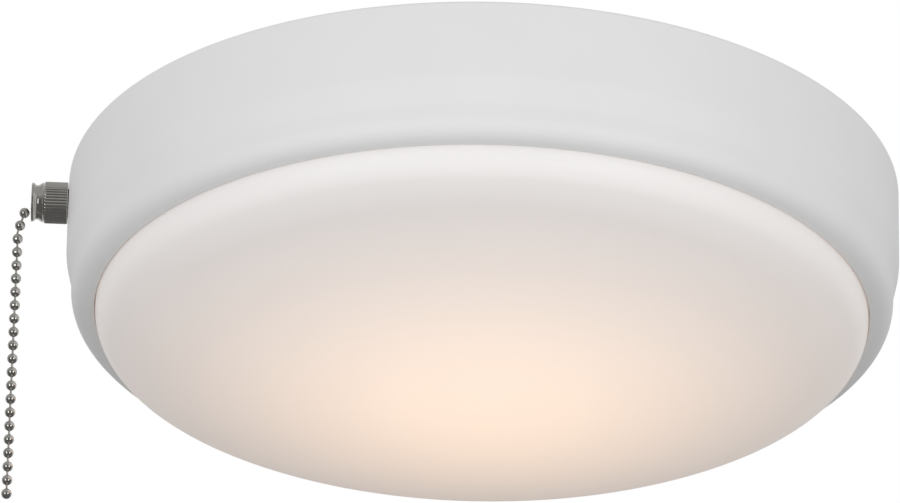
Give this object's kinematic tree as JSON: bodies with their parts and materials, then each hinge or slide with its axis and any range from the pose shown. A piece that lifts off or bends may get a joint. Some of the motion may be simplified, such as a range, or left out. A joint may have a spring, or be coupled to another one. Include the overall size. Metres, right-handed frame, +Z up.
{
  "type": "pull-chain ceiling light",
  "caption": "Round flush ceiling light with an opal diffuser, switched by a bead pull chain that hangs from a knurled canopy switch in its rim.",
  "frame": {"origin": "centre of the ceiling plane, where the back of the pan meets the ceiling", "axes": "+Z up into the ceiling, -X out along the pull-chain switch, -Y towards the usual viewer"},
  "size_m": [0.2705, 0.254, 0.1163],
  "materials": {
    "pan": "satin white powder coat",
    "led_tray": "gloss white reflector paint",
    "diffuser": "opal acrylic, smooth, lit warm from inside",
    "zinc": "zinc plated steel",
    "green_zinc": "green dyed screw",
    "nickel": "polished nickel plate",
    "spring_steel": "oiled spring steel",
    "brass": "bright brass",
    "black_rubber": "matt rubber",
    "phenolic": "moulded phenolic",
    "nylon": "natural nylon",
    "board_white": "white solder mask on an aluminium board",
    "phosphor": "yellow phosphor gel",
    "chip_black": "moulded epoxy",
    "varistor_blue": "blue epoxy coat",
    "wire_black": "black insulation",
    "wire_white": "white insulation"
  },
  "bodies": {
    "housing": {"pan": "pan", "led_tray": "led_tray", "mounting_strap": "zinc", "box_screw_left": "zinc", "box_screw_right": "zinc", "pan_screw_left": "zinc", "pan_screw_right": "zinc", "tray_post_1": "zinc", "tray_post_2": "zinc", "tray_post_3": "zinc", "board_screw_1": "zinc", "board_screw_2": "zinc", "board_screw_3": "zinc", "clip_rivet_1": "zinc", "clip_rivet_2": "zinc", "clip_rivet_3": "zinc", "inner_hex_nut": "zinc", "ground_screw": "green_zinc", "threaded_bushing": "nickel", "knurled_nut": "nickel", "bell_mouth": "nickel", "return_spring": "spring_steel", "lens_clip_1": "spring_steel", "lens_clip_2": "spring_steel", "lens_clip_3": "spring_steel", "fixed_contact_a": "brass", "fixed_contact_b": "brass", "switch_rivet_1": "brass", "switch_rivet_2": "brass", "wire_grommet": "black_rubber", "switch_body": "phenolic", "switch_cover": "phenolic", "terminal_block": "nylon", "led_board": "board_white", "led_1": "phosphor", "led_2": "phosphor", "led_3": "phosphor", "led_4": "phosphor", "led_5": "phosphor", "led_6": "phosphor", "led_7": "phosphor", "led_8": "phosphor", "driver_chip": "chip_black", "bridge_rectifier": "chip_black", "surge_varistor": "varistor_blue", "switch_lead_in": "wire_black", "switch_lead_out": "wire_black", "neutral_lead": "wire_white"},
    "diffuser_body": {"diffuser": "diffuser"},
    "plunger_body": {"plunger": "nylon", "chain_inner": "nickel"},
    "feed_bead_b": {"chain_bead_b": "nickel"},
    "feed_bead_a": {"chain_bead_a": "nickel"},
    "rotor_body": {"ratchet_rotor": "nylon", "contact_bridge": "brass"},
    "chain_lead_body": {"chain_lead": "nickel"},
    "chain_upper_body": {"chain_upper": "nickel"},
    "chain_middle_body": {"chain_middle": "nickel"},
    "chain_lower_body": {"chain_lower": "nickel"}
  },
  "joints": [
    {"name": "chain_pull", "type": "slide", "parent": "housing", "child": "chain_lead_body", "axis": [0, 0, -1], "range_m": [0, 0.008], "stiffness_N_per_m": 500, "springref_m": -0.005},
    {"name": "plunger_draw", "type": "slide", "parent": "housing", "child": "plunger_body", "axis": [-1, 0, 0], "range_m": [0, 0.008], "deforming": ["return_spring"]},
    {"name": "bead_b_feed", "type": "slide", "parent": "housing", "child": "feed_bead_b", "axis": [-0.9473, 0, -0.3202], "range_m": [0, 0.00751]},
    {"name": "bead_a_feed", "type": "slide", "parent": "housing", "child": "feed_bead_a", "axis": [-0.7137, 0, -0.7005], "range_m": [0, 0.00759]},
    {"name": "rotor_turn", "type": "hinge", "parent": "housing", "child": "rotor_body", "pos_m": [-0.109, 0, -0.014], "axis": [0, 0, 1], "range_deg": [0, 90.2]},
    {"name": "chain_swing", "type": "hinge", "parent": "chain_lead_body", "child": "chain_upper_body", "pos_m": [-0.142, 0, -0.0202], "axis": [0, 1, 0], "range_deg": [-12, 60]},
    {"name": "chain_sway", "type": "hinge", "parent": "chain_upper_body", "child": "chain_middle_body", "pos_m": [-0.142, 0, -0.0517], "axis": [1, 0, 0], "range_deg": [-45, 45]},
    {"name": "chain_tail_swing", "type": "hinge", "parent": "chain_middle_body", "child": "chain_lower_body", "pos_m": [-0.142, 0, -0.0832], "axis": [0, 1, 0], "range_deg": [-40, 60]},
    {"name": "diffuser_twist", "type": "hinge", "parent": "housing", "child": "diffuser_body", "pos_m": [0, 0, -0.0426], "axis": [0, 0, -1], "range_deg": [0, 22]}
  ],
  "couplings": [
    {"joint": "plunger_draw", "follows": "chain_pull", "ratio": 1},
    {"joint": "bead_b_feed", "follows": "chain_pull", "ratio": 0.9368},
    {"joint": "bead_a_feed", "follows": "chain_pull", "ratio": 0.9458},
    {"joint": "rotor_turn", "follows": "chain_pull", "rad_per_m": 196.3}
  ]
}
